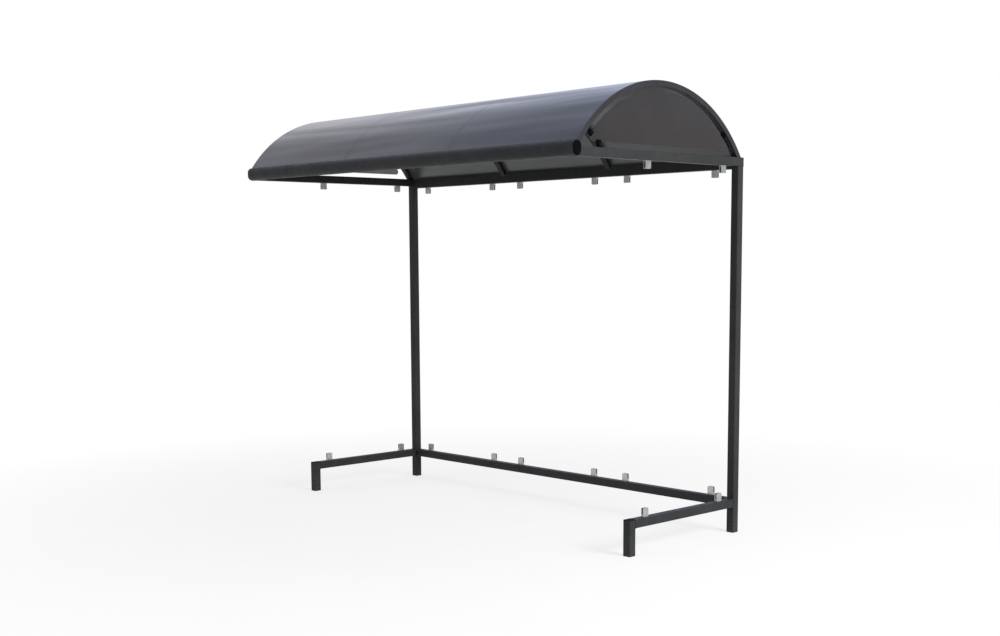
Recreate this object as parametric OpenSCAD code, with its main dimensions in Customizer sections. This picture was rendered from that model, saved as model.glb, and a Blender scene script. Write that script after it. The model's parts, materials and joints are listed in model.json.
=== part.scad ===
// Open bike shelter. A frame of square tubes carries a barrel-vault roof of three smoked
// sheets on four arches, and pane clips stand on the bottom rails and hang from the beams.
// Millimetres. +X runs along the shelter, +Y towards its rear wall and +Z up.
// The origin lies on the ground, under the middle of the roof.

/* [Overall] */
// Length over the outer faces of the posts
length = 3000; // [2600:10:3600]
// Depth from the front of the gutter to the rear face of the posts
depth = 1435; // [1320:5:1500]
// Height of the rear posts, up to the underside of the side beams
post_h = 2160; // [1900:10:2500]
// Depth of a side wall, from the front of its leg to the rear of its post
side_depth = 980; // [900:5:1150]
// Height of the top of the bottom rails
rail_top = 204; // [150:2:300]

/* [Frame tubes] */
// Side of the square tube of the posts, legs and bottom rails, and width of the beams
tube = 50; // [40:1:55]
// Wall of the frame tubes
tube_wall = 3; // [2:0.5:4]
// Outer corner radius of the frame tubes
tube_corner = 4.5; // [4.5:0.5:6]
// Height of the side beams
beam_h = 50; // [45:1:60]
// Height of the rear beam
rear_beam_h = 65; // [60:1:80]
// Thickness of the plate that closes the foot of a post or leg
foot_plate = 5; // [4:1:10]
// Thickness of the rim of a plastic cap on an open tube end
cap_t = 3; // [2:0.5:5]
// Depth of the plug of a plastic cap inside its tube
cap_plug = 12; // [8:1:20]
// Clearance of the plug of a plastic cap in its tube
cap_gap = 0.3; // [0.2:0.1:0.6]

/* [Roof] */
// Outer radius of the vault
vault_r = 834; // [800:2:880]
// Distance of the rear edge of the roof sheets from the rear face of the posts
rear_land = 27; // [20:1:34]
// Thickness of the roof sheets
sheet_t = 5; // [4:0.5:8]
// Gap between neighbouring roof sheets
sheet_gap = 4; // [2:0.5:8]
// How far the front edge of the roof sheets lies behind the crown of the gutter
sheet_trim = 2; // [1:0.5:4]
// Width of the arch tubes along the shelter
arch_w = 40; // [30:1:50]
// Depth of the arch tubes towards the middle of the vault
arch_d = 25; // [20:1:35]
// Wall of the arch tubes
arch_wall = 2; // [1.5:0.5:3]
// Height of the oval front gutter
gutter_h = 80; // [72:2:90]
// Width of the oval front gutter, twice the radius of its round top and bottom
gutter_w = 60; // [50:2:70]
// Wall of the gutter
gutter_wall = 3; // [2:0.5:4]
// Thickness of the end caps of the gutter
gutter_cap_t = 5; // [4:0.5:10]
// Edge radius of the end caps of the gutter
gutter_cap_round = 4; // [2:0.5:4]
// How far the lower front edge of the side beams lies behind the middle of the gutter
beam_nose = 12; // [10:1:16]

/* [Gables] */
// Thickness of the gable panels
gable_t = 4; // [3:0.5:6]
// Open gap between a gable panel and the top of its arch
gable_gap = 24; // [20:1:36]
// How far a gable panel sits off the middle of its arch, to the rear on the right, to the front on the left
gable_shift = 23; // [0:1:27]
// Open gap between a gable panel and the beam below it
gable_sill = 31; // [24:1:36]
// Corner radius of a gable panel
gable_corner = 20; // [8:1:25]
// Width of a gable clip across the panel
gable_clip_w = 14; // [10:1:24]
// Length of the head of a gable clip along the edge of the panel
gable_clip_l = 28; // [24:1:60]
// Length of the stem of a gable clip
gable_stem_l = 14; // [10:1:20]
// How far a gable clip grips over the edge of the panel
gable_grip = 10; // [8:1:18]
// Height of the head of a gable clip outside the edge of the panel
gable_head = 10; // [6:1:14]
// Distance of the front clip on the arch from the corner of the panel
gable_arch_inset = 10; // [5:1:60]
// Distance of the rear clip on the arch from the corner of the panel
gable_rear_inset = 75; // [40:1:120]
// Distance of the clip on the beam from the corner of the panel
gable_beam_inset = 50; // [40:1:90]

/* [Pane clips] */
// Width of a pane clip along its rail
clip_w = 42; // [34:1:50]
// Height of a pane clip on the beams
clip_h = 44; // [38:1:54]
// Extra height of the foot of the pane clips on the bottom rails
clip_rise = 7; // [0:1:18]
// Corner radius of the free end of a pane clip
clip_corner = 5; // [4:0.5:8]
// Thickness of each jaw of a pane clip
clip_jaw = 5; // [4:0.5:6]
// Clear width between the jaws of a pane clip
clip_slot = 8; // [7:0.5:10]
// Height of the foot that joins the jaws of a pane clip
clip_foot = 10; // [8:1:16]
// Offset of the pane clips from the middle of their rail, towards the outside
clip_offset = 5; // [0:1:6]
// Thickness of the rubber pads in a pane clip
pad_t = 1; // [0.5:0.5:1.5]
// Margin of a rubber pad inside the outline of its jaw
pad_margin = 3; // [2:0.5:3]
// Distance between the middles of neighbouring rear panes
pane_pitch = 965; // [850:5:1000]
// Distance between the two clips of a rear pane
rear_clip_span = 690; // [500:10:760]
// Distance of the front clip of a side pane from the front of its leg
side_clip_inset = 148; // [120:1:180]
// Distance between the two clips of a side pane
side_clip_span = 660; // [500:10:700]

/* [Hidden] */
$fn = 96;
eps = 1;
far = 5000;

frame_colour = "#3b4043";
arch_colour = "#33363d";
cap_colour = "#121316";
sheet_colour = [0.30, 0.31, 0.36, 0.75];
gable_colour = [0.27, 0.26, 0.26, 0.92];
clip_colour = "#c4c5c2";
pad_colour = "#1b1b1c";

// Frame
side_x = length / 2;
rear_y = depth / 2;
frame_top = post_h + beam_h;
leg_y = rear_y - side_depth;
wall_x = side_x - tube / 2;
wall_y = rear_y - tube / 2;
bore_corner = tube_corner - tube_wall;

// Gutter
gutter_r = gutter_w / 2;
gutter_flank = gutter_h / 2 - gutter_r;
gutter_y = -depth / 2 + gutter_r;
gutter_mid = post_h + gutter_h / 2;
gutter_top = post_h + gutter_h;

// Vault: a circular arc from the crown of the gutter to the top of the rear beam
land_y = rear_y - rear_land;
chord_y = land_y - gutter_y;
chord_z = frame_top - gutter_top;
chord = norm([chord_y, chord_z]);
chord_drop = sqrt(vault_r * vault_r - chord * chord / 4);
vault_y = (gutter_y + land_y) / 2 + chord_drop * chord_z / chord;
vault_z = (gutter_top + frame_top) / 2 - chord_drop * chord_y / chord;
arch_r = vault_r - sheet_t;
arch_in = arch_r - arch_d;
arch_x = side_x - arch_w / 2;
inner_arch_x = pane_pitch / 2;
foot_angle = asin((post_h - vault_z) / arch_in);

// Gable panel: its round edge has an axis of its own
gable_r = arch_in - gable_gap;
gable_low = frame_top + gable_sill;
gable_fillet_z = gable_low + gable_corner - vault_z;
gable_fillet_y = sqrt(pow(gable_r - gable_corner, 2) - pow(gable_fillet_z, 2));
gable_corner_angle = atan2(gable_fillet_z, gable_fillet_y);
gable_corner_steps = 8;
gable_front_turn = gable_corner_angle + gable_arch_inset / gable_r * 180 / PI;
gable_rear_turn = gable_corner_angle + gable_rear_inset / gable_r * 180 / PI;
gable_clip_turn = gable_clip_l / gable_r * 180 / PI;
gable_stem_turn = gable_stem_l / gable_r * 180 / PI;
gable_clip_y = vault_y - gable_fillet_y + gable_beam_inset;

// Pane clips
rear_clip_x = [for (pane = [-1:1], end = [-1, 1]) pane * pane_pitch + end * rear_clip_span / 2];
side_clip_y = [for (i = [0, 1]) leg_y + side_clip_inset + i * side_clip_span];

// Shared shapes

// A w by h rectangle about the origin with corners of radius r
module rounded_rect(w, h, r) {
  square([w - 2 * r, h], center = true);
  square([w, h - 2 * r], center = true);
  for (x = [-1, 1], y = [-1, 1])
    translate([x * (w / 2 - r), y * (h / 2 - r)]) circle(r, $fn = 32);
}

// Section of a frame tube of outer size w by h
module tube_section(w, h) {
  difference() {
    rounded_rect(w, h, tube_corner);
    rounded_rect(w - 2 * tube_wall, h - 2 * tube_wall, bore_corner);
  }
}

// Upright square tube on the ground, closed by a foot plate and open at its top
module standing_tube(h) {
  linear_extrude(foot_plate) rounded_rect(tube, tube, tube_corner);
  translate([0, 0, foot_plate]) linear_extrude(h - foot_plate) tube_section(tube, tube);
}

// Tube of w by h that runs along +X or +Y from the origin
module tube_along_x(run, w, h) {
  rotate([90, 0, 90]) linear_extrude(run) tube_section(w, h);
}

module tube_along_y(run, w, h) {
  rotate([-90, 0, 0]) linear_extrude(run) tube_section(w, h);
}

// Plastic cap for the end of a frame tube: a rim on the end and a plug in the bore
module tube_cap(w, h) {
  plug = 2 * (tube_wall + cap_gap);
  linear_extrude(cap_t) rounded_rect(w, h, tube_corner);
  translate([0, 0, -cap_plug]) linear_extrude(cap_plug) rounded_rect(w - plug, h - plug, bore_corner);
}

// Turns a flat shape drawn in Y and Z so that it is extruded along +X
module along_x() {
  rotate([90, 0, 90]) children();
}

// Ring sector about the axis of the vault, w wide about x = 0, from angle a to angle b
module vault_sector(r_in, r_out, w, a, b) {
  translate([0, vault_y, vault_z]) along_x() rotate([0, 0, a]) rotate_extrude(angle = b - a, $fn = 360)
    translate([r_in, -w / 2]) square([r_out - r_in, w]);
}

// Space in front of y
module front_of(y) {
  translate([-far, y - far, -far]) cube([2 * far, far, 2 * far]);
}

// Space behind y and below z
module rear_below(y, z) {
  translate([-far, y, z - far]) cube([2 * far, far, far]);
}

// Space in front of y and below z
module front_below(y, z) {
  translate([-far, y - far, z - far]) cube([2 * far, far, far]);
}

// Frame; side is -1 on the left and 1 on the right

module post(side) {
  color(frame_colour) translate([side * wall_x, wall_y, 0]) standing_tube(post_h);
}

module front_leg(side) {
  color(frame_colour) translate([side * wall_x, leg_y + tube / 2, 0]) standing_tube(rail_top - cap_t);
}

module leg_cap(side) {
  color(cap_colour) translate([side * wall_x, leg_y + tube / 2, rail_top - cap_t]) tube_cap(tube, tube);
}

module side_rail(side) {
  color(frame_colour) translate([side * wall_x, leg_y + tube, rail_top - tube / 2])
    tube_along_y(side_depth - 2 * tube, tube, tube);
}

module rear_rail() {
  color(frame_colour) translate([-side_x + tube, wall_y, rail_top - tube / 2])
    tube_along_x(length - 2 * tube, tube, tube);
}

// Side beam: its front end is coped to the back of the gutter
module side_beam(side) {
  front = gutter_y + beam_nose;
  color(frame_colour) difference() {
    translate([side * wall_x, front, post_h + beam_h / 2])
      tube_along_y(rear_y - cap_t - front, tube, beam_h);
    gutter_space();
  }
}

module beam_cap(side) {
  color(cap_colour) translate([side * wall_x, rear_y - cap_t, post_h + beam_h / 2])
    rotate([-90, 0, 0]) tube_cap(tube, beam_h);
}

module rear_beam() {
  color(frame_colour) translate([-side_x + tube, wall_y, frame_top - rear_beam_h / 2])
    tube_along_x(length - 2 * tube, tube, rear_beam_h);
}

// Gutter

// Oval section of the gutter in Y and Z, taken in from its outer face by inset
module gutter_section(inset) {
  r = gutter_r - inset;
  translate([gutter_y, gutter_mid]) {
    square([2 * r, 2 * gutter_flank], center = true);
    for (end = [-1, 1]) translate([0, end * gutter_flank]) circle(r);
  }
}

// Space taken by the gutter, past both its ends
module gutter_space() {
  translate([-side_x - eps, 0, 0]) along_x() linear_extrude(length + 2 * eps) gutter_section(0);
}

module front_gutter() {
  color(frame_colour) translate([-side_x, 0, 0]) along_x() linear_extrude(length) difference() {
    gutter_section(0);
    gutter_section(gutter_wall);
  }
}

// Half outline of an end cap across its thickness: x runs out from the middle of the gutter
module gutter_cap_outline() {
  square([gutter_r - gutter_cap_round, gutter_cap_t]);
  square([gutter_r, gutter_cap_t - gutter_cap_round]);
  translate([gutter_r - gutter_cap_round, gutter_cap_t - gutter_cap_round]) intersection() {
    circle(gutter_cap_round);
    square(gutter_cap_round);
  }
}

// End cap of the gutter: an oval plate with a rounded rim
module gutter_cap(side) {
  color(cap_colour) mirror([side < 0 ? 1 : 0, 0, 0]) translate([side_x, gutter_y, gutter_mid]) {
    for (end = [-1, 1]) translate([0, 0, end * gutter_flank])
      rotate([0, 90, 0]) rotate([0, 0, 90 * end]) rotate_extrude(angle = 180, start = 0) gutter_cap_outline();
    translate([0, 0, -gutter_flank]) linear_extrude(2 * gutter_flank) {
      rotate([0, 0, -90]) gutter_cap_outline();
      mirror([0, 1, 0]) rotate([0, 0, -90]) gutter_cap_outline();
    }
  }
}

// Roof

// Arch tube at x, before its feet are cut
module arch_tube(x) {
  translate([x, 0, 0]) difference() {
    vault_sector(arch_in, arch_r, arch_w, foot_angle, 180 - foot_angle);
    vault_sector(arch_in + arch_wall, arch_r - arch_wall, arch_w - 2 * arch_wall, foot_angle - eps,
      180 - foot_angle + eps);
  }
}

// Front of the roof that is cut away: the gutter, all before its crown and all below its middle
module front_cut() {
  gutter_space();
  front_of(gutter_y + sheet_trim);
  front_below(vault_y, gutter_mid);
}

// End arch: the front foot is coped to the gutter and the rear foot stands on a side beam
module end_arch(side) {
  color(arch_colour) difference() {
    arch_tube(side * arch_x);
    front_cut();
    rear_below(vault_y, frame_top);
  }
}

// Inner arch: the front foot is coped to the gutter and the rear foot is notched over the rear beam
module inner_arch(side) {
  color(arch_colour) difference() {
    arch_tube(side * inner_arch_x);
    front_cut();
    rear_below(rear_y - tube, frame_top);
  }
}

// Roof sheet between x0 and x1, standing on the gutter and on the rear beam
module roof_sheet(x0, x1) {
  color(sheet_colour) difference() {
    translate([(x0 + x1) / 2, 0, 0])
      vault_sector(arch_r, vault_r, x1 - x0, foot_angle, 180 - foot_angle);
    front_cut();
    rear_below(vault_y, frame_top);
  }
}

module outer_sheet(side) {
  inner_edge = inner_arch_x + sheet_gap / 2;
  if (side < 0) roof_sheet(-side_x, -inner_edge);
  else roof_sheet(inner_edge, side_x);
}

module middle_sheet() {
  edge = inner_arch_x - sheet_gap / 2;
  roof_sheet(-edge, edge);
}

// Gables

// Point i on the rounded corner of a gable panel, from its lower edge upwards; end is -1 at the front
function gable_corner_point(end, i) =
  let (a = -90 + (gable_corner_angle + 90) * i / gable_corner_steps)
  [end * (gable_fillet_y + gable_corner * cos(a)), gable_fillet_z + gable_corner * sin(a)];

// Outline of a gable panel in Y and Z about its own axis
module gable_outline() {
  last = gable_corner_steps - 1;
  beyond = gable_r + gable_corner;
  side_y = beyond * cos(gable_corner_angle);
  side_z = beyond * sin(gable_corner_angle);
  intersection() {
    circle(gable_r, $fn = 360);
    polygon(concat(
      [for (i = [0:last]) gable_corner_point(1, i)],
      [[side_y, side_z], [beyond, beyond], [-beyond, beyond], [-side_y, side_z]],
      [for (i = [last:-1:0]) gable_corner_point(-1, i)]
    ));
  }
}

module gable_panel(side) {
  color(gable_colour) translate([side * arch_x - gable_t / 2, vault_y + side * gable_shift, vault_z])
    along_x() linear_extrude(gable_t) gable_outline();
}

// Clip at an angle about the axis of a gable panel: its head grips the edge of the panel and its stem
// reaches the arch
module gable_arch_clip(side, angle) {
  half = gable_clip_turn / 2;
  stem = gable_stem_turn / 2;
  shift = [0, side * gable_shift, 0];
  difference() {
    translate(shift) {
      vault_sector(gable_r - gable_grip, gable_r + gable_head, gable_clip_w, angle - half, angle + half);
      vault_sector(gable_r, arch_in + gable_shift, gable_clip_w, angle - stem, angle + stem);
    }
    translate(shift)
      vault_sector(gable_r - 2 * gable_grip, gable_r, gable_t, angle - 2 * half, angle + 2 * half);
    vault_sector(arch_in, vault_r + 2 * gable_shift, arch_w, 0, 180);
  }
}

// Clip on a side beam at y: its head grips the lower edge of a gable panel
module gable_beam_clip(y) {
  stem_h = gable_sill - gable_head;
  translate([-gable_clip_w / 2, y, frame_top]) {
    translate([0, -gable_stem_l / 2, 0]) cube([gable_clip_w, gable_stem_l, stem_h]);
    translate([0, -gable_clip_l / 2, stem_h]) difference() {
      cube([gable_clip_w, gable_clip_l, gable_head + gable_grip]);
      translate([(gable_clip_w - gable_t) / 2, -eps, gable_head])
        cube([gable_t, gable_clip_l + 2 * eps, 2 * gable_grip]);
    }
  }
}

module gable_clips(side) {
  color(cap_colour) translate([side * arch_x, 0, 0]) {
    gable_arch_clip(side, gable_rear_turn);
    gable_arch_clip(side, 180 - gable_front_turn);
    gable_beam_clip(gable_clip_y + side * gable_shift);
  }
}

// Pane clips, drawn on a rail along X: the foot is on z = 0 and the loose jaw at -Y

// How much taller the foot of a clip is; top clips hang from the beams
function foot_rise(top) = top ? 0 : clip_rise;

// Outline of a jaw in X and Z with a rounded free end, taken in by inset
module jaw_outline(inset, low, high) {
  half = clip_w / 2 - inset;
  r = clip_corner - inset;
  translate([-half, low]) square([2 * half, high - r - low]);
  translate([r - half, low]) square([2 * half - 2 * r, high - low]);
  for (end = [-1, 1]) translate([end * (half - r), high - r]) circle(r);
}

// Extrudes a jaw outline from y0 over a thickness t
module jaw_plate(y0, t, inset, low, high) {
  translate([0, y0 + t, 0]) rotate([90, 0, 0]) linear_extrude(t) jaw_outline(inset, low, high);
}

// Fixed jaw with the foot that spans the slot
module clip_body(rise) {
  jaw_plate(clip_slot / 2, clip_jaw, 0, 0, clip_h + rise);
  translate([-clip_w / 2, -clip_slot / 2, 0]) cube([clip_w, clip_slot, clip_foot + rise]);
}

module clip_loose_jaw(rise) {
  jaw_plate(-clip_slot / 2 - clip_jaw, clip_jaw, 0, 0, clip_h + rise);
}

module clip_pads(rise) {
  low = clip_foot + rise;
  high = clip_h + rise - pad_margin;
  jaw_plate(clip_slot / 2 - pad_t, pad_t, pad_margin, low, high);
  jaw_plate(-clip_slot / 2, pad_t, pad_margin, low, high);
}

// Places a clip on the rear rail or on a side rail, or upside down under the beam above it
module on_rear(top) {
  for (x = rear_clip_x)
    translate([x, wall_y + clip_offset, top ? frame_top - rear_beam_h : rail_top])
      mirror([0, 0, top ? 1 : 0]) children();
}

module on_side(side, top) {
  for (y = side_clip_y)
    translate([side * (wall_x + clip_offset), y, top ? post_h : rail_top])
      mirror([0, 0, top ? 1 : 0]) rotate([0, 0, -90 * side]) children();
}

module rear_clips(top) {
  color(clip_colour) on_rear(top) clip_body(foot_rise(top));
}

module rear_jaws(top) {
  color(clip_colour) on_rear(top) clip_loose_jaw(foot_rise(top));
}

module rear_pads() {
  color(pad_colour) for (top = [false, true]) on_rear(top) clip_pads(foot_rise(top));
}

module side_clips(side, top) {
  color(clip_colour) on_side(side, top) clip_body(foot_rise(top));
}

module side_jaws(side, top) {
  color(clip_colour) on_side(side, top) clip_loose_jaw(foot_rise(top));
}

module side_pads(side) {
  color(pad_colour) for (top = [false, true]) on_side(side, top) clip_pads(foot_rise(top));
}

post(-1);  // left_post
post(1);  // right_post
front_leg(-1);  // left_front_leg
front_leg(1);  // right_front_leg
leg_cap(-1);  // left_leg_cap
leg_cap(1);  // right_leg_cap
side_rail(-1);  // left_bottom_rail
side_rail(1);  // right_bottom_rail
rear_rail();  // rear_bottom_rail
side_beam(-1);  // left_side_beam
side_beam(1);  // right_side_beam
beam_cap(-1);  // left_beam_cap
beam_cap(1);  // right_beam_cap
rear_beam();
front_gutter();
gutter_cap(-1);  // left_gutter_cap
gutter_cap(1);  // right_gutter_cap
end_arch(-1);  // left_end_arch
inner_arch(-1);  // left_inner_arch
inner_arch(1);  // right_inner_arch
end_arch(1);  // right_end_arch
outer_sheet(-1);  // left_roof_sheet
middle_sheet();  // middle_roof_sheet
outer_sheet(1);  // right_roof_sheet
gable_panel(-1);  // left_gable_panel
gable_panel(1);  // right_gable_panel
gable_clips(-1);  // left_gable_clips
gable_clips(1);  // right_gable_clips
rear_clips(true);  // rear_top_clips
rear_clips(false);  // rear_bottom_clips
side_clips(-1, true);  // left_top_clips
side_clips(-1, false);  // left_bottom_clips
side_clips(1, true);  // right_top_clips
side_clips(1, false);  // right_bottom_clips
rear_jaws(true);  // rear_top_jaws
rear_jaws(false);  // rear_bottom_jaws
side_jaws(-1, true);  // left_top_jaws
side_jaws(-1, false);  // left_bottom_jaws
side_jaws(1, true);  // right_top_jaws
side_jaws(1, false);  // right_bottom_jaws
rear_pads();  // rear_clip_pads
side_pads(-1);  // left_clip_pads
side_pads(1);  // right_clip_pads
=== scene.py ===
"""Looks of the open bike shelter: finishes, seams, screws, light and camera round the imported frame."""
import json
import math

import bmesh
import bpy
from mathutils import Matrix, Vector

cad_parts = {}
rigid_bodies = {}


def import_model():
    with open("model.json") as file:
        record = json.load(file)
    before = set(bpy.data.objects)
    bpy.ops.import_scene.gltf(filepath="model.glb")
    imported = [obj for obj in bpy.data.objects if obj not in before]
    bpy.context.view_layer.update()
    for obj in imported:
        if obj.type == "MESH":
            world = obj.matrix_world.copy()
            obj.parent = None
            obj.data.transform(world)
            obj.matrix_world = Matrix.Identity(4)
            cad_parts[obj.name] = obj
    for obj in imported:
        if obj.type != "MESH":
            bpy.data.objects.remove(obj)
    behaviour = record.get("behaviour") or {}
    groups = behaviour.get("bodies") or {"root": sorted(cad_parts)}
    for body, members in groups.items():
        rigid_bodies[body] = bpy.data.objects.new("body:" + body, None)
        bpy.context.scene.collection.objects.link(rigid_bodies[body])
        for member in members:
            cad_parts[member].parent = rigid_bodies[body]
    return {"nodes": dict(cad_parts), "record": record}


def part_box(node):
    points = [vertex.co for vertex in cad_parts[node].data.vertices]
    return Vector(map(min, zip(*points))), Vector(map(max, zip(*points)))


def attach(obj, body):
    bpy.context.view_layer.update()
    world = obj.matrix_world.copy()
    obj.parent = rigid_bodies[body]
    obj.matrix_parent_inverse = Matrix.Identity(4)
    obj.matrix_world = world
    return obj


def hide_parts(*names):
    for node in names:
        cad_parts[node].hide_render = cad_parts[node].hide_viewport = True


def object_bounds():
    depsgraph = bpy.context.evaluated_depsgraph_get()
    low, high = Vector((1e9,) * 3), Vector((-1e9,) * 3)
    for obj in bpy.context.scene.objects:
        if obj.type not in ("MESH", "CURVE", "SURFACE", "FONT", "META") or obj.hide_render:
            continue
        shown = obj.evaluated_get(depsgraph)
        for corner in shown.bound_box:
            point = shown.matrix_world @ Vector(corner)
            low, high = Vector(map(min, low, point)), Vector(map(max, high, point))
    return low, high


for leftover in list(bpy.data.objects):
    bpy.data.objects.remove(leftover)

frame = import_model()
cad_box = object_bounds()

# Sizes of the CAD model that its boxes do not give, in metres
ROOF_R = 0.834  # outer radius of the vault
SHEET_T = 0.005  # thickness of the roof sheets
SHEET_TRIM = 0.002  # front edge of the sheets behind the crown of the gutter
TUBE_CORNER = 0.0045  # corner radius of the frame tubes
LOWER_CLIP_FOOT = 0.017  # height of the foot of a clip on a bottom rail
UPPER_CLIP_FOOT = 0.010  # height of the foot of a clip under a beam

# Sizes of the added pieces, in metres
SHEET_AIR = 0.0004  # gap between a roof sheet and what carries it
SHEET_EDGE = 0.0005  # rounding of the edges of a roof sheet
PANEL_EDGE = 0.0006  # rounding of the edges of a gable panel
CLIP_EDGE = 0.0009  # rounding of the edges of a pane clip
SEAL_HALF = 0.0017  # half the width of a joint strip
SEAL_LOW = 0.0002  # depth of the edges of a joint strip below the top of the sheets
SEAL_CROWN = 0.0001  # rise of the middle of a joint strip above its edges
SEALANT_R = 0.0026  # radius of a bead of sealant
BEAD_R = 0.0026  # radius of a weld bead
BEAD_PITCH = 0.0042  # length of a ripple of a weld bead
BEAD_STEP = 0.0012  # length of a step along a weld bead
SCREW_R = 0.0042  # radius of a screw head
SCREW_H = 0.0021  # height of a screw head
SCREW_APART = 0.011  # distance of a screw from the middle of its clip
SAME_POINT = 1e-6  # points closer than this are joined in a copied mesh
WELDED_POINT = 1e-5  # points closer than this are joined before a clip is rounded

# Shares and counts of the added pieces
BEAD_RIPPLE = 0.14  # depth of the ripples, as a share of the radius
ARC_STEPS = 128  # steps along the arc of a roof sheet
SEALANT_STEPS = 240  # steps along a bead of sealant
CORNER_STEPS = 6  # steps round a corner of a tube
BEAD_SIDES = 8  # sides of a weld bead or a bead of sealant
SCREW_SIDES = 24  # sides of a screw head
EDGE_SEGMENTS = 2  # steps across a rounded edge

# Uneven swell of the sealant: share of its radius, radians per metre and start of each wave
SEALANT_SWELLS = ((0.10, 41.0, 0.0), (0.06, 97.0, 1.0))

# Button head with a socket: shares of its radius and height, from its rim to the floor of the socket
SCREW_HEAD = ((1.0, -0.4), (1.0, 0.25), (0.93, 0.62), (0.74, 0.90),
              (0.52, 1.0), (0.46, 0.92), (0.44, 0.30))

# Angles between faces above which an edge stays sharp or is rounded
SHARP = math.radians(35)
SHEET_SHARP = math.radians(20)
BEAD_SHARP = math.radians(80)
SHEET_CORNER = math.radians(40)
PANEL_CORNER = math.radians(60)
CLIP_CORNER = math.radians(50)

# Angle below which faces count as one flat face
FLAT = math.radians(0.5)

# Least share of a face's normal along the shelter, at the cut ends of a sheet and on the flats of a panel
SHEET_END = 0.1
PANEL_FACE = 0.9

# Roof sheets from left to right
SHEET_NODES = ("left_roof_sheet", "middle_roof_sheet", "right_roof_sheet")

# Directions
ALONG = Vector((1, 0, 0))
REARWARD = Vector((0, 1, 0))
UPWARD = Vector((0, 0, 1))

# Camera fitted to the photograph, in metres, radians and pixels, with its sensor in millimetres
EYE = Vector((6.3251, -5.7682, 1.6664))
FOCAL = 1350.21
CENTRE_ROW = 414.42
PITCH = -0.1188
ROLL = -0.0057
YAW = 0.8166
IMAGE_W = 1000
IMAGE_H = 636
SENSOR = 36.0

# Floor in metres; its cover is the share of plain white that the camera sees
FLOOR_HALF = 120.0
FLOOR_DROP = 0.0005
FADE_START = 1.5
FADE_END = 4.5
NEAR_COVER = 0.74

# Sky that the part mirrors, the directions over which it changes, and the strength of the even fill light
LOW_SKY_DULL = (0.46, 0.465, 0.48)
LOW_SKY_BRIGHT = (0.80, 0.77, 0.77)
HIGH_SKY_GREY = (0.86, 0.86, 0.94)
HIGH_SKY_BLUE = (0.77, 0.845, 1.10)
KEY_SIDE = (-0.2, 0.6)
FAR_LEFT = (-0.80, -0.66)
HORIZON = (0.05, 0.32)
SKY_FILL = 0.36
WHITE = (1.0, 1.0, 1.0)

# Lamps: place and width in metres, power in watts
KEY_SPOT = Vector((8.0, 0.5, 4.5))
KEY_WIDTH = 4.0
KEY_POWER = 650.0
FILL_SPOT = Vector((-2.0, -8.5, 2.7))
FILL_WIDTH = 5.0
FILL_POWER = 125.0

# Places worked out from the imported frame
gutter_low, gutter_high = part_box("front_gutter")
gutter_y = (gutter_low.y + gutter_high.y) / 2
gutter_r = (gutter_high.y - gutter_low.y) / 2
gutter_mid = (gutter_low.z + gutter_high.z) / 2
gutter_flank = (gutter_high.z - gutter_low.z) / 2 - gutter_r
beam_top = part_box("rear_beam")[1].z
land_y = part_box("middle_roof_sheet")[1].y


def vault_axis():
    """Y and Z of the axis of the vault, from the crown of the gutter and the rear landing."""
    front = Vector((gutter_y, gutter_high.z))
    rear = Vector((land_y, beam_top))
    chord = rear - front
    drop = math.sqrt(ROOF_R ** 2 - (chord.length / 2) ** 2)
    down = Vector((chord.y, -chord.x)).normalized()
    return (front + rear) / 2 + drop * down


axis_y, axis_z = vault_axis()
sheet_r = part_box("middle_roof_sheet")[1].z - axis_z


def on_vault(radius, angle, x=0.0):
    """Point at a radius from the axis; the angle runs from the rear, over the top, to the front."""
    return Vector((x, axis_y + radius * math.cos(angle), axis_z + radius * math.sin(angle)))


def off_flank(z):
    """Height of z above or below the flat flanks of the gutter, 0 beside them."""
    lift = max(-gutter_flank, min(gutter_flank, z - gutter_mid))
    return z - gutter_mid - lift


def in_gutter(point):
    """True for a point inside the oval of the gutter."""
    return math.hypot(point.y - gutter_y, off_flank(point.z)) < gutter_r


def gutter_back(z):
    """Y of the back of the gutter at a height."""
    return gutter_y + math.sqrt(max(0.0, gutter_r ** 2 - off_flank(z) ** 2))


def rear_angle(radius):
    """Angle at which a circle of that radius meets the top of the rear beam."""
    return math.asin((beam_top + SHEET_AIR - axis_z) / radius)


def front_angle(radius):
    """Angle at which a circle of that radius ends at the gutter or just behind its crown."""
    angle = math.pi - math.acos((axis_y - gutter_y - SHEET_TRIM) / radius)
    while in_gutter(on_vault(radius - SHEET_AIR, angle)):
        angle -= SHEET_AIR / radius
    return angle


def sheet_angles(radius):
    """Even steps of angle from the rear edge of a sheet to its front edge."""
    rear = rear_angle(radius)
    front = front_angle(radius)
    return [rear + i / ARC_STEPS * (front - rear) for i in range(ARC_STEPS + 1)]


# Node helpers
def start_material(name):
    """A material with its Principled shader and the place on the part as a vector."""
    material = bpy.data.materials.new(name)
    material.use_nodes = True
    tree = material.node_tree
    shader = tree.nodes["Principled BSDF"]
    place = tree.nodes.new("ShaderNodeTexCoord").outputs["Object"]
    return material, tree, shader, place


def stretched(tree, place, factors, shift=(0.0, 0.0, 0.0)):
    """The place with each axis scaled and then shifted, for streaks."""
    node = tree.nodes.new("ShaderNodeMapping")
    node.inputs["Scale"].default_value = factors
    node.inputs["Location"].default_value = shift
    tree.links.new(place, node.inputs["Vector"])
    return node.outputs["Vector"]


def noise(tree, place, scale, detail):
    """Soft noise from 0 to 1."""
    node = tree.nodes.new("ShaderNodeTexNoise")
    node.inputs["Scale"].default_value = scale
    node.inputs["Detail"].default_value = detail
    tree.links.new(place, node.inputs["Vector"])
    return node.outputs["Fac"]


def ranged(tree, value, start, end, low=0.0, high=1.0):
    """A value between start and end mapped to low and high, and clamped."""
    node = tree.nodes.new("ShaderNodeMapRange")
    for key, number in (("From Min", start), ("From Max", end), ("To Min", low), ("To Max", high)):
        node.inputs[key].default_value = number
    tree.links.new(value, node.inputs["Value"])
    return node.outputs["Result"]


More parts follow.
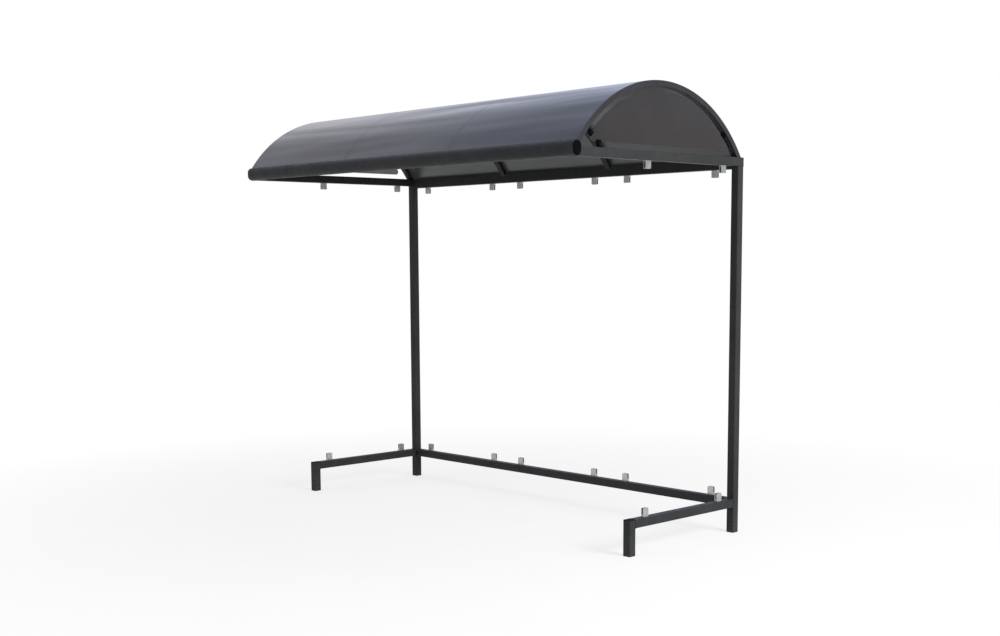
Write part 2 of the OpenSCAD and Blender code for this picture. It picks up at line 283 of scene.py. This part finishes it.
def calculated(tree, operation, first, second):
    """Two values joined by an operation."""
    node = tree.nodes.new("ShaderNodeMath")
    node.operation = operation
    tree.links.new(first, node.inputs[0])
    tree.links.new(second, node.inputs[1])
    return node.outputs["Value"]


def product(tree, first, second):
    """Two factors multiplied."""
    return calculated(tree, "MULTIPLY", first, second)


def give_colour(tree, socket, colour):
    """Sets a colour on a socket, or links the output of a node to it."""
    if isinstance(colour, tuple):
        socket.default_value = (*colour, 1.0)
    else:
        tree.links.new(colour, socket)


def blended(tree, factor, first, second):
    """Colour between two colours, each a tuple or the output of a node."""
    node = tree.nodes.new("ShaderNodeMix")
    node.data_type = "RGBA"
    tree.links.new(factor, node.inputs["Factor"])
    give_colour(tree, node.inputs[6], first)
    give_colour(tree, node.inputs[7], second)
    return node.outputs[2]


def bumped(tree, shader, height, distance, under=None):
    """Bump from a height on the shader, on top of another bump if one is given."""
    node = tree.nodes.new("ShaderNodeBump")
    node.inputs["Distance"].default_value = distance
    tree.links.new(height, node.inputs["Height"])
    if under is not None:
        tree.links.new(under, node.inputs["Normal"])
    tree.links.new(node.outputs["Normal"], shader.inputs["Normal"])
    return node.outputs["Normal"]


def edge_mask(tree, radius):
    """1 along sharp outer and inner edges, 0 on flat faces."""
    rounded = tree.nodes.new("ShaderNodeBevel")
    rounded.samples = 4
    rounded.inputs["Radius"].default_value = radius
    plain = tree.nodes.new("ShaderNodeNewGeometry")
    dot = tree.nodes.new("ShaderNodeVectorMath")
    dot.operation = "DOT_PRODUCT"
    tree.links.new(rounded.outputs["Normal"], dot.inputs[0])
    tree.links.new(plain.outputs["Normal"], dot.inputs[1])
    return ranged(tree, dot.outputs["Value"], 0.98, 0.80)


def part_of(tree, vector, axis):
    """The X, Y or Z of a place or direction."""
    node = tree.nodes.new("ShaderNodeSeparateXYZ")
    tree.links.new(vector, node.inputs["Vector"])
    return node.outputs[axis]


def uneven_gloss(tree, shader, place, scale, detail, low, high):
    """Roughness that varies softly between low and high."""
    gloss = ranged(tree, noise(tree, place, scale, detail), 0.3, 0.7, low, high)
    tree.links.new(gloss, shader.inputs["Roughness"])


# Materials
def powder_coat(name, dark, light, worn):
    """Satin powder coat: orange peel, cloudy tone, rain streaks, dust near the ground, thin edges."""
    material, tree, shader, place = start_material(name)
    cloudy = ranged(tree, noise(tree, place, 7.0, 5.0), 0.35, 0.65)
    colour = blended(tree, cloudy, dark, light)
    streaks = noise(tree, stretched(tree, place, (34.0, 34.0, 1.4)), 1.0, 4.0)
    colour = blended(tree, ranged(tree, streaks, 0.52, 0.75, 0.0, 0.10), colour, worn)
    low = ranged(tree, part_of(tree, place, "Z"), 0.14, 0.0, 0.0, 0.32)
    specks = ranged(tree, noise(tree, place, 60.0, 6.0), 0.40, 0.65, 0.1, 1.0)
    dust = (0.100, 0.096, 0.088)
    colour = blended(tree, product(tree, low, specks), colour, dust)
    rub = ranged(tree, noise(tree, place, 45.0, 4.0), 0.35, 0.70, 0.15, 0.8)
    colour = blended(tree, product(tree, edge_mask(tree, 0.0025), rub), colour, worn)
    give_colour(tree, shader.inputs["Base Color"], colour)
    uneven_gloss(tree, shader, place, 22.0, 4.0, 0.46, 0.60)
    shader.inputs["Specular IOR Level"].default_value = 0.16
    peel = bumped(tree, shader, noise(tree, place, 520.0, 2.0), 0.00016)
    bumped(tree, shader, noise(tree, place, 24.0, 2.0), 0.00030, peel)
    return material


def frame_paint():
    """Dark grey paint of the posts, legs, rails, beams, gutter and weld beads."""
    return powder_coat("frame_paint", dark=(0.0265, 0.0278, 0.0285), light=(0.0345, 0.0360, 0.0370),
                       worn=(0.070, 0.072, 0.074))


def arch_paint():
    """Dark, slightly bluer paint of the arches."""
    return powder_coat("arch_paint", dark=(0.025, 0.025, 0.029), light=(0.032, 0.032, 0.037),
                       worn=(0.066, 0.066, 0.072))


def moulded_plastic():
    """Black moulded plastic with a fine grain and paler rubbed edges."""
    material, tree, shader, place = start_material("moulded_plastic")
    tone = ranged(tree, noise(tree, place, 55.0, 4.0), 0.35, 0.65)
    colour = blended(tree, tone, (0.0022, 0.0023, 0.0030), (0.0042, 0.0044, 0.0054))
    rub = ranged(tree, noise(tree, place, 90.0, 3.0), 0.4, 0.7, 0.1, 0.7)
    colour = blended(tree, product(tree, edge_mask(tree, 0.0015), rub), colour, (0.012, 0.012, 0.013))
    give_colour(tree, shader.inputs["Base Color"], colour)
    uneven_gloss(tree, shader, place, 70.0, 3.0, 0.42, 0.60)
    shader.inputs["Specular IOR Level"].default_value = 0.02
    bumped(tree, shader, noise(tree, place, 1400.0, 2.0), 0.00010)
    return material


def smoked_sheet(name, clear, dense, painted_reflection_tint, film, index, wave):
    """Smoked plastic: tinted, slightly wavy, with faint wiped streaks; film is its range of roughness; the
    specular tint colours its reflections, a painted reflection colour.
    """
    material, tree, shader, place = start_material(name)
    streaks = noise(tree, stretched(tree, place, (0.9, 5.0, 5.0)), 1.0, 4.0)
    colour = blended(tree, ranged(tree, streaks, 0.35, 0.65), clear, dense)
    give_colour(tree, shader.inputs["Base Color"], colour)
    wiped = noise(tree, stretched(tree, place, (2.0, 9.0, 9.0)), 1.0, 6.0)
    tree.links.new(ranged(tree, wiped, 0.35, 0.70, *film), shader.inputs["Roughness"])
    shader.inputs["Transmission Weight"].default_value = 1.0
    shader.inputs["IOR"].default_value = index
    # Specular tint: a painted colour on the reflections, bluish on the roof in place of the sky it mirrors
    give_colour(tree, shader.inputs["Specular Tint"], painted_reflection_tint)
    waves = noise(tree, stretched(tree, place, (0.4, 3.2, 3.2), (3.4, 2.2, 0.8)), 1.2, 1.5)
    bumped(tree, shader, waves, wave)
    return material


def roof_plastic():
    """Glossy outer face of the roof sheets, its reflections tinted blue as a painted sky reflection."""
    return smoked_sheet("roof_plastic", clear=(0.027, 0.029, 0.029), dense=(0.016, 0.017, 0.019),
                        painted_reflection_tint=(0.90, 0.93, 1.0), film=(0.08, 0.16), index=1.65, wave=0.0450)


def roof_underside():
    """The same plastic with the fine matte texture of its inner face; its reflections are faintly tinted
    blue, a painted reflection colour.
    """
    return smoked_sheet("roof_underside", clear=(0.034, 0.036, 0.034), dense=(0.024, 0.025, 0.024),
                        painted_reflection_tint=(0.95, 0.96, 1.0), film=(0.30, 0.42), index=1.585, wave=0.0045)


def gable_plastic():
    """Clearer and flatter plastic of the gable panels; its reflections are faintly tinted red, a painted
    reflection colour.
    """
    return smoked_sheet("gable_plastic", clear=(0.125, 0.122, 0.120), dense=(0.095, 0.093, 0.092),
                        painted_reflection_tint=(1.0, 0.95, 0.95), film=(0.06, 0.14), index=1.585, wave=0.0022)


def sawn_edge():
    """Cut edge of a smoked sheet: dark, matte and finely scored."""
    material, tree, shader, place = start_material("sawn_edge")
    tone = ranged(tree, noise(tree, place, 160.0, 4.0), 0.35, 0.65)
    colour = blended(tree, tone, (0.020, 0.020, 0.024), (0.036, 0.036, 0.041))
    give_colour(tree, shader.inputs["Base Color"], colour)
    uneven_gloss(tree, shader, place, 240.0, 3.0, 0.42, 0.60)
    shader.inputs["Specular IOR Level"].default_value = 0.35
    bumped(tree, shader, noise(tree, place, 900.0, 2.0), 0.00008)
    return material


def cast_metal():
    """Satin cast metal of the pane clips: fine grain, cloudy tone, edges brightened partly as rubbed wear
    and partly as a painted edge highlight.
    """
    material, tree, shader, place = start_material("cast_metal")
    tone = ranged(tree, noise(tree, place, 48.0, 5.0), 0.3, 0.7)
    colour = blended(tree, tone, (0.43, 0.43, 0.425), (0.54, 0.54, 0.53))
    # Paler edges: partly rubbed wear, partly a painted highlight along every sharp edge
    rub = ranged(tree, noise(tree, place, 120.0, 3.0), 0.35, 0.7, 0.2, 1.0)
    colour = blended(tree, product(tree, edge_mask(tree, 0.0015), rub), colour, (0.68, 0.68, 0.67))
    give_colour(tree, shader.inputs["Base Color"], colour)
    shader.inputs["Metallic"].default_value = 1.0
    uneven_gloss(tree, shader, place, 260.0, 3.0, 0.30, 0.46)
    bumped(tree, shader, noise(tree, place, 1100.0, 3.0), 0.00012)
    return material


def black_rubber():
    """Matte rubber of the pads in the pane clips."""
    material, tree, shader, place = start_material("black_rubber")
    tone = ranged(tree, noise(tree, place, 80.0, 5.0), 0.35, 0.7)
    colour = blended(tree, tone, (0.010, 0.010, 0.010), (0.024, 0.024, 0.023))
    give_colour(tree, shader.inputs["Base Color"], colour)
    uneven_gloss(tree, shader, place, 130.0, 3.0, 0.62, 0.82)
    shader.inputs["Specular IOR Level"].default_value = 0.25
    bumped(tree, shader, noise(tree, place, 1600.0, 2.0), 0.00008)
    return material


def seal_strip():
    """Glossy dark strip in the joints of the sheets and sealant along their edges."""
    material, tree, shader, place = start_material("seal_strip")
    tone = ranged(tree, noise(tree, place, 30.0, 4.0), 0.35, 0.7)
    colour = blended(tree, tone, (0.020, 0.021, 0.026), (0.036, 0.037, 0.044))
    give_colour(tree, shader.inputs["Base Color"], colour)
    uneven_gloss(tree, shader, place, 40.0, 3.0, 0.14, 0.28)
    shader.inputs["Specular IOR Level"].default_value = 0.85
    bumped(tree, shader, noise(tree, place, 700.0, 2.0), 0.00005)
    return material


def screw_steel():
    """Bright stainless steel of the small screws."""
    material, tree, shader, place = start_material("screw_steel")
    tone = ranged(tree, noise(tree, place, 300.0, 4.0), 0.3, 0.7)
    colour = blended(tree, tone, (0.42, 0.42, 0.42), (0.60, 0.60, 0.59))
    give_colour(tree, shader.inputs["Base Color"], colour)
    shader.inputs["Metallic"].default_value = 1.0
    uneven_gloss(tree, shader, place, 500.0, 3.0, 0.20, 0.36)
    bumped(tree, shader, noise(tree, place, 900.0, 2.0), 0.00006)
    return material


# Mesh helpers
def piece(name, bm, material, sharp=SHARP):
    """A new piece of the part from a bmesh, smooth but for its sharp edges."""
    mesh = bpy.data.meshes.new(name)
    bmesh.ops.recalc_face_normals(bm, faces=bm.faces)
    bm.to_mesh(mesh)
    bm.free()
    mesh.polygons.foreach_set("use_smooth", [True] * len(mesh.polygons))
    mesh.set_sharp_from_angle(angle=sharp)
    mesh.materials.append(material)
    made = bpy.data.objects.new(name, mesh)
    bpy.context.scene.collection.objects.link(made)
    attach(made, "root")
    return made


def copy_of(node):
    """The mesh of a CAD node as a bmesh, with its points joined."""
    bm = bmesh.new()
    bm.from_mesh(frame["nodes"][node].data)
    bmesh.ops.remove_doubles(bm, verts=bm.verts, dist=SAME_POINT)
    return bm


def solids_of(node):
    """Lowest and highest corners of each separate solid of a CAD node."""
    bm = copy_of(node)
    left = set(bm.verts)
    boxes = []
    while left:
        waiting = [left.pop()]
        found = []
        while waiting:
            vert = waiting.pop()
            found.append(vert.co.copy())
            for link in vert.link_edges:
                other = link.other_vert(vert)
                if other in left:
                    left.remove(other)
                    waiting.append(other)
        low = Vector([min(co[i] for co in found) for i in range(3)])
        high = Vector([max(co[i] for co in found) for i in range(3)])
        boxes.append((low, high))
    bm.free()
    return sorted(boxes, key=lambda box: tuple(box[0]))


def turns(count):
    """Even angles round a full turn."""
    return [2 * math.pi * i / count for i in range(count)]


def skin(bm, rings, closed):
    """Quads between rings of points; the ends are filled where the run isn't closed."""
    rows = [[bm.verts.new(co) for co in ring] for ring in rings]
    count = len(rows[0])
    last = len(rows) if closed else len(rows) - 1
    for i in range(last):
        here = rows[i]
        there = rows[(i + 1) % len(rows)]
        for j in range(count):
            k = (j + 1) % count
            bm.faces.new((here[j], here[k], there[k], there[j]))
    if not closed:
        bm.faces.new(rows[0])
        bm.faces.new(reversed(rows[-1]))


def round_edges(bm, corner, width):
    """Rounds each edge between faces that turn by more than the corner angle."""
    edges = [edge for edge in bm.edges if edge.calc_face_angle(0.0) > corner]
    bmesh.ops.bevel(bm, geom=edges, offset=width, segments=EDGE_SEGMENTS, profile=0.5, affect="EDGES")


def finish_faces(made, material, chosen):
    """Gives the chosen faces of a sheet, such as its cut edges, a finish of their own."""
    made.data.materials.append(material)
    for face in made.data.polygons:
        if chosen(face):
            face.material_index = len(made.data.materials) - 1


# Sheets and panels
def roof_sheet(node, material, under, edge):
    """A roof sheet with rounded, sawn edges and a matte underside, a hair clear of the arches."""
    low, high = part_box(node)
    outer = high.z - axis_z
    inner = outer - SHEET_T + SHEET_AIR
    middle = (inner + outer) / 2
    rings = []
    for above, below in zip(sheet_angles(outer), sheet_angles(inner)):
        rings.append([on_vault(outer, above, low.x), on_vault(outer, above, high.x),
                      on_vault(inner, below, high.x), on_vault(inner, below, low.x)])
    bm = bmesh.new()
    skin(bm, rings, False)
    bmesh.ops.recalc_face_normals(bm, faces=bm.faces)
    round_edges(bm, SHEET_CORNER, SHEET_EDGE)
    made = piece(node + "_smoked", bm, material, SHEET_SHARP)

    def outwards(face):
        return math.hypot(face.center.y - axis_y, face.center.z - axis_z) - middle

    def on_edge(face):
        return abs(face.normal.x) > SHEET_END or abs(outwards(face)) < SHEET_T / 2 - 2 * SHEET_EDGE

    finish_faces(made, under, lambda face: outwards(face) < 0.0)
    finish_faces(made, edge, on_edge)
    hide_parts(node)


def gable_panel(node, material, edge):
    """A gable panel in the shape of its node, with rounded, sawn edges."""
    bm = copy_of(node)
    bmesh.ops.dissolve_limit(bm, angle_limit=FLAT, verts=bm.verts, edges=bm.edges)
    round_edges(bm, PANEL_CORNER, PANEL_EDGE)
    made = piece(node + "_smoked", bm, material, SHEET_SHARP)
    finish_faces(made, edge, lambda face: abs(face.normal.x) < PANEL_FACE)
    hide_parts(node)


# Joint strips and sealant
def seal_section():
    """Points across a joint strip: place along the shelter and radius, flat below and crowned above."""
    top = sheet_r - SEAL_LOW
    crown = [(SEAL_HALF / 2, top + SEAL_CROWN * 0.75), (0.0, top + SEAL_CROWN),
             (-SEAL_HALF / 2, top + SEAL_CROWN * 0.75)]
    low = [(-SEAL_HALF, sheet_r - SHEET_T), (SEAL_HALF, sheet_r - SHEET_T)]
    return [*low, (SEAL_HALF, top), *crown, (-SEAL_HALF, top)]


def joint_seals(material):
    """Strips in the joints between the roof sheets."""
    bm = bmesh.new()
    for near, far in zip(SHEET_NODES, SHEET_NODES[1:]):
        x = (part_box(near)[1].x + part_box(far)[0].x) / 2
        rings = []
        for angle in sheet_angles(sheet_r):
            rings.append([on_vault(radius, angle, x + across) for across, radius in seal_section()])
        skin(bm, rings, False)
    piece("sheet_joint_seals", bm, material)


def edge_sealant(material):
    """Uneven beads of sealant along the front and rear edges of the sheets."""
    bm = bmesh.new()
    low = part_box("left_roof_sheet")[0].x
    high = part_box("right_roof_sheet")[1].x
    front = on_vault(sheet_r - SHEET_T / 2, front_angle(sheet_r))
    rear = on_vault(sheet_r - SHEET_T / 3, rear_angle(sheet_r))
    rim = [Vector((0.0, math.cos(turn), math.sin(turn))) for turn in turns(BEAD_SIDES)]
    for centre in (front, rear):
        rings = []
        for i in range(SEALANT_STEPS + 1):
            x = low + (high - low) * i / SEALANT_STEPS
            swell = 1.0 + sum(share * math.sin(x * rate + start) for share, rate, start in SEALANT_SWELLS)
            middle = Vector((x, centre.y, centre.z))
            rings.append([middle + SEALANT_R * swell * out for out in rim])
        skin(bm, rings, False)
    piece("sheet_edge_sealant", bm, material)


# Weld beads round the joints of the tubes
def rounded_outline(low, high):
    """Points and outward directions round a tube's section, counter-clockwise from its lower right."""
    left, right = low[0] + TUBE_CORNER, high[0] - TUBE_CORNER
    bottom, top = low[1] + TUBE_CORNER, high[1] - TUBE_CORNER
    found = []
    for u, v, start in ((right, bottom, -90), (right, top, 0), (left, top, 90), (left, bottom, 180)):
        for i in range(CORNER_STEPS + 1):
            turn = math.radians(start + 90 * i / CORNER_STEPS)
            out = Vector((math.cos(turn), math.sin(turn)))
            found.append((Vector((u, v)) + TUBE_CORNER * out, out))
    return found


def resampled(outline):
    """The outline cut into steps of even length, closed."""
    found = []
    for (here, out_here), (there, out_there) in zip(outline, outline[1:] + outline[:1]):
        steps = max(1, round((there - here).length / BEAD_STEP))
        for i in range(steps):
            share = i / steps
            found.append((here.lerp(there, share), out_here.lerp(out_there, share).normalized()))
    return found


def bead(bm, outline, to_space, along):
    """A rippled bead round an outline; to_space places a point, along is the direction of the tube."""
    rings = []
    for i, (spot, out) in enumerate(resampled(outline)):
        ripple = 1.0 - BEAD_RIPPLE + BEAD_RIPPLE * math.cos(2 * math.pi * i * BEAD_STEP / BEAD_PITCH)
        radius = BEAD_R * ripple
        centre = to_space(spot)
        side = to_space(spot + out) - centre
        side = (side - along * side.dot(along)).normalized()
        rings.append([centre + radius * (math.cos(turn) * side + math.sin(turn) * along)
                      for turn in turns(BEAD_SIDES)])
    skin(bm, rings, True)


def weld_beads(material):
    """Beads where the rails and beams meet the posts, legs and gutter, and on top of the posts."""
    bm = bmesh.new()
    for side in ("left", "right"):
        low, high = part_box(side + "_bottom_rail")
        outline = rounded_outline((low.x, low.z), (high.x, high.z))
        for y in (low.y, high.y):
            bead(bm, outline, lambda p, y=y: Vector((p.x, y, p.y)), REARWARD)
        low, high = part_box(side + "_side_beam")
        outline = rounded_outline((low.x, low.z), (high.x, high.z))
        bead(bm, outline, lambda p: Vector((p.x, gutter_back(p.y), p.y)), REARWARD)
        low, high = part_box(side + "_post")
        outline = rounded_outline((low.x, low.y), (high.x, high.y))
        bead(bm, outline, lambda p, z=high.z: Vector((p.x, p.y, z)), UPWARD)
    for node in ("rear_bottom_rail", "rear_beam"):
        low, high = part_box(node)
        outline = rounded_outline((low.y, low.z), (high.y, high.z))
        for x in (low.x, high.x):
            bead(bm, outline, lambda p, x=x: Vector((x, p.x, p.y)), ALONG)
    piece("weld_beads", bm, material, BEAD_SHARP)


# Button-head screws
def screw(bm, spot, out):
    """A screw head on a face, turned about the direction out."""
    place = Matrix.Translation(spot) @ out.to_track_quat("Z", "Y").to_matrix().to_4x4()
    rings = []
    for radius_share, height_share in SCREW_HEAD:
        radius = SCREW_R * radius_share
        height = SCREW_H * height_share
        rings.append([place @ Vector((radius * math.cos(turn), radius * math.sin(turn), height))
                      for turn in turns(SCREW_SIDES)])
    skin(bm, rings, False)


def clip_screws(material):
    """Two screws in the loose jaw of each pane clip, at the height of its foot."""
    bm = bmesh.new()
    for wall, out in (("rear", -REARWARD), ("left", ALONG), ("right", -ALONG)):
        across = UPWARD.cross(out)
        for level in ("bottom", "top"):
            for low, high in solids_of(f"{wall}_{level}_jaws"):
                middle = (low + high) / 2
                half = (high - low) / 2
                face = middle + Vector((out.x * half.x, out.y * half.y, 0.0))
                if level == "bottom":
                    face.z = low.z + LOWER_CLIP_FOOT / 2
                else:
                    face.z = high.z - UPPER_CLIP_FOOT / 2
                for apart in (-SCREW_APART, SCREW_APART):
                    screw(bm, face + apart * across, out)
    piece("clip_screws", bm, material)


# Finishes of the CAD nodes
def dress(materials):
    """Each CAD node gets the finish of its slot in the record."""
    for row in frame["record"]["subparts"]:
        for slot in frame["nodes"][row["node"]].material_slots:
            slot.link = "OBJECT"
            slot.material = materials[row["material_slot"]]


def ease_edges(slot_name):
    """Rounds the sharp edges of the nodes of a slot."""
    for row in frame["record"]["subparts"]:
        if row["material_slot"] != slot_name:
            continue
        node = frame["nodes"][row["node"]]
        weld = node.modifiers.new("joined", "WELD")
        weld.merge_threshold = WELDED_POINT
        bevel = node.modifiers.new("rounded", "BEVEL")
        bevel.width = CLIP_EDGE
        bevel.segments = EDGE_SEGMENTS
        bevel.limit_method = "ANGLE"
        bevel.angle_limit = CLIP_CORNER
        bevel.harden_normals = True


# Floor, light and camera
def either(tree, path, kinds):
    """1 for rays of any of these kinds."""
    value = path.outputs[kinds[0]]
    for kind in kinds[1:]:
        value = calculated(tree, "MAXIMUM", value, path.outputs[kind])
    return value


def seen_directly(tree):
    """1 for rays from the camera and for those that a glossy or clear surface sends on."""
    path = tree.nodes.new("ShaderNodeLightPath")
    return either(tree, path, ("Is Camera Ray", "Is Glossy Ray", "Is Transmission Ray"))


def mixed(tree, factor, first, second):
    """Shader between two shaders."""
    node = tree.nodes.new("ShaderNodeMixShader")
    tree.links.new(factor, node.inputs["Fac"])
    tree.links.new(first, node.inputs[1])
    tree.links.new(second, node.inputs[2])
    return node.outputs["Shader"]


def floor_finish():
    """Pale floor that shows the shadow near the part and turns plain white away from it."""
    material, tree, shader, place = start_material("pale_floor")
    grain = ranged(tree, noise(tree, place, 3.0, 3.0), 0.3, 0.7)
    grey = blended(tree, grain, (0.44, 0.44, 0.44), (0.47, 0.47, 0.47))
    pale = blended(tree, grain, (0.95, 0.95, 0.95), WHITE)
    give_colour(tree, shader.inputs["Base Color"], blended(tree, seen_directly(tree), grey, pale))
    shader.inputs["Roughness"].default_value = 1.0
    shader.inputs["Specular IOR Level"].default_value = 0.0
    white = tree.nodes.new("ShaderNodeEmission")
    give_colour(tree, white.inputs["Color"], WHITE)
    away = tree.nodes.new("ShaderNodeVectorMath")
    away.operation = "LENGTH"
    tree.links.new(place, away.inputs[0])
    cover = ranged(tree, away.outputs["Value"], FADE_START, FADE_END, NEAR_COVER, 1.0)
    shown = product(tree, seen_directly(tree), cover)
    surface = mixed(tree, shown, shader.outputs["BSDF"], white.outputs["Emission"])
    tree.links.new(surface, tree.nodes["Material Output"].inputs["Surface"])
    return material


def floor():
    """Wide floor just under the feet."""
    half = FLOOR_HALF
    bm = bmesh.new()
    corners = ((-half, -half), (half, -half), (half, half), (-half, half))
    bm.faces.new([bm.verts.new((x, y, -FLOOR_DROP)) for x, y in corners])
    mesh = bpy.data.meshes.new("floor")
    bm.to_mesh(mesh)
    bm.free()
    mesh.materials.append(floor_finish())
    made = bpy.data.objects.new("floor", mesh)
    bpy.context.scene.collection.objects.link(made)


def background(tree, colour, strength):
    """A background shader of the world."""
    node = tree.nodes.new("ShaderNodeBackground")
    node.inputs["Strength"].default_value = strength
    give_colour(tree, node.inputs["Color"], colour)
    return node.outputs["Background"]


def mirrored_sky(tree):
    """Colour of the sky in reflections: dull near the horizon, but not on the key side, and pale above."""
    direction = tree.nodes.new("ShaderNodeTexCoord").outputs["Generated"]
    along = part_of(tree, direction, "X")
    low = blended(tree, ranged(tree, along, *KEY_SIDE), LOW_SKY_DULL, LOW_SKY_BRIGHT)
    high = blended(tree, ranged(tree, along, *FAR_LEFT), HIGH_SKY_GREY, HIGH_SKY_BLUE)
    return blended(tree, ranged(tree, part_of(tree, direction, "Z"), *HORIZON), low, high)


def sky():
    """White to the camera, a soft sky in reflections, even fill light on the part."""
    world = bpy.data.worlds.new("studio")
    bpy.context.scene.world = world
    world.use_nodes = True
    tree = world.node_tree
    tree.nodes.clear()
    fill = background(tree, WHITE, SKY_FILL)
    mirrored = background(tree, mirrored_sky(tree), 1.0)
    white = background(tree, WHITE, 1.0)
    path = tree.nodes.new("ShaderNodeLightPath")
    lit = mixed(tree, path.outputs["Is Glossy Ray"], fill, mirrored)
    shown = mixed(tree, either(tree, path, ("Is Camera Ray", "Is Transmission Ray")), lit, white)
    output = tree.nodes.new("ShaderNodeOutputWorld")
    tree.links.new(shown, output.inputs["Surface"])


def soft_lamp(name, spot, width, power):
    """A large soft lamp that looks at the middle of the part; its disc does not show in the sheets."""
    data = bpy.data.lights.new(name, "AREA")
    data.shape = "DISK"
    data.size = width
    data.energy = power
    made = bpy.data.objects.new(name, data)
    made.location = spot
    middle = (cad_box[0] + cad_box[1]) / 2
    made.rotation_mode = "QUATERNION"
    made.rotation_quaternion = (middle - spot).to_track_quat("-Z", "Y")
    made.visible_glossy = False
    bpy.context.scene.collection.objects.link(made)


def camera():
    """The photograph's view."""
    ahead = Vector((-math.sin(YAW), math.cos(YAW), 0.0))
    right = Vector((math.cos(YAW), math.sin(YAW), 0.0))
    forward = math.cos(PITCH) * ahead + math.sin(PITCH) * UPWARD
    up = -math.sin(PITCH) * ahead + math.cos(PITCH) * UPWARD
    side = math.cos(ROLL) * right + math.sin(ROLL) * up
    top = -math.sin(ROLL) * right + math.cos(ROLL) * up
    data = bpy.data.cameras.new("camera")
    data.sensor_width = SENSOR
    data.lens = FOCAL / IMAGE_W * SENSOR
    data.shift_y = (CENTRE_ROW - IMAGE_H / 2) / IMAGE_W
    made = bpy.data.objects.new("camera", data)
    turn = Matrix((side, top, -forward)).transposed()
    made.matrix_world = Matrix.Translation(EYE) @ turn.to_4x4()
    bpy.context.scene.collection.objects.link(made)
    bpy.context.scene.camera = made


# The dressed part
materials = {
    "frame": frame_paint(),
    "arch": arch_paint(),
    "black_plastic": moulded_plastic(),
    "roof_sheet": roof_plastic(),
    "gable_sheet": gable_plastic(),
    "clip": cast_metal(),
    "pad": black_rubber(),
}
dress(materials)
ease_edges("clip")
sawn = sawn_edge()
underside = roof_underside()
for sheet_node in SHEET_NODES:
    roof_sheet(sheet_node, materials["roof_sheet"], underside, sawn)
for panel_node in ("left_gable_panel", "right_gable_panel"):
    gable_panel(panel_node, materials["gable_sheet"], sawn)
strip = seal_strip()
joint_seals(strip)
edge_sealant(strip)
weld_beads(materials["frame"])
clip_screws(screw_steel())

# The stage
floor()
sky()
soft_lamp("key_lamp", KEY_SPOT, KEY_WIDTH, KEY_POWER)
soft_lamp("fill_lamp", FILL_SPOT, FILL_WIDTH, FILL_POWER)
camera()
bpy.context.scene.view_settings.view_transform = "Standard"
